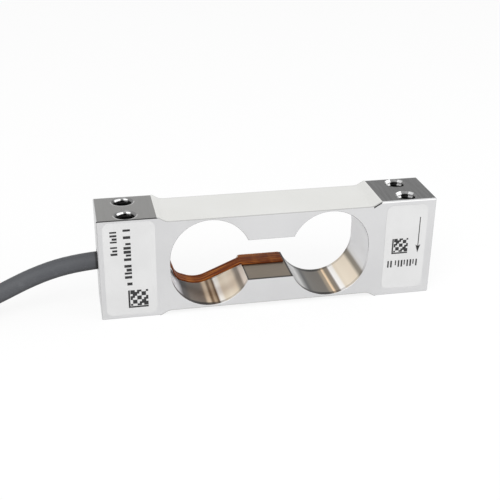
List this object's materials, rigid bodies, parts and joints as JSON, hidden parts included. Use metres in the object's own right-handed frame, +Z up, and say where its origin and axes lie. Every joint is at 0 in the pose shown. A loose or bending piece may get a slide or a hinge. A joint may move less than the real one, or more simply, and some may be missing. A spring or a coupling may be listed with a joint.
{
  "type": "single point load cell",
  "caption": "Flat aluminium bending-beam load cell with end blocks, two bores joined by a slot, white gauge covers, threaded mounting holes and a tied, stripped cable.",
  "frame": {"origin": "under the middle of the beam, at the height of its feet", "axes": "+X along the beam away from the cable, +Y from the labelled front face to the back face, +Z up"},
  "size_m": [0.1992, 0.0394, 0.025],
  "materials": {
    "anodised_aluminium": "satin anodised",
    "white_cover": "satin film",
    "polyimide": "glossy film",
    "constantan_foil": "etched foil",
    "nickel_foil": "etched foil",
    "copper_wire": "enamelled",
    "flex": "glossy film with traces",
    "solder": "bright tin",
    "potting": "matt",
    "cable_grey": "satin",
    "sleeve_black": "satin",
    "core_red": "satin",
    "core_black": "satin",
    "core_green": "satin",
    "core_white": "satin",
    "label_film": "satin film"
  },
  "bodies": {
    "root": {"beam": "anodised_aluminium", "top_cover": "white_cover", "top_wiring_film": "polyimide", "top_compensation_resistor": "nickel_foil", "top_lead_wire_1": "copper_wire", "top_lead_wire_2": "copper_wire", "top_lead_wire_3": "copper_wire", "gauge_carrier_top_left": "polyimide", "gauge_grid_top_left": "constantan_foil", "gauge_carrier_top_right": "polyimide", "gauge_grid_top_right": "constantan_foil", "bottom_cover": "white_cover", "bottom_wiring_film": "polyimide", "bottom_compensation_resistor": "nickel_foil", "bottom_lead_wire_1": "copper_wire", "bottom_lead_wire_2": "copper_wire", "bottom_lead_wire_3": "copper_wire", "gauge_carrier_bottom_left": "polyimide", "gauge_grid_bottom_left": "constantan_foil", "gauge_carrier_bottom_right": "polyimide", "gauge_grid_bottom_right": "constantan_foil", "flex_circuit": "flex", "inner_core_red": "core_red", "solder_joint_red": "solder", "inner_core_black": "core_black", "solder_joint_black": "solder", "inner_core_green": "core_green", "solder_joint_green": "solder", "inner_core_white": "core_white", "solder_joint_white": "solder", "cable_seal": "potting", "left_label": "label_film", "right_label": "label_film", "cable_jacket": "cable_grey", "cable_hank": "cable_grey", "hank_tie": "sleeve_black", "far_jacket": "cable_grey", "end_sleeve": "sleeve_black", "outer_core_red": "core_red", "tinned_tip_red": "solder", "outer_core_black": "core_black", "tinned_tip_black": "solder", "outer_core_green": "core_green", "tinned_tip_green": "solder", "outer_core_white": "core_white", "tinned_tip_white": "solder"}
  },
  "joints": []
}
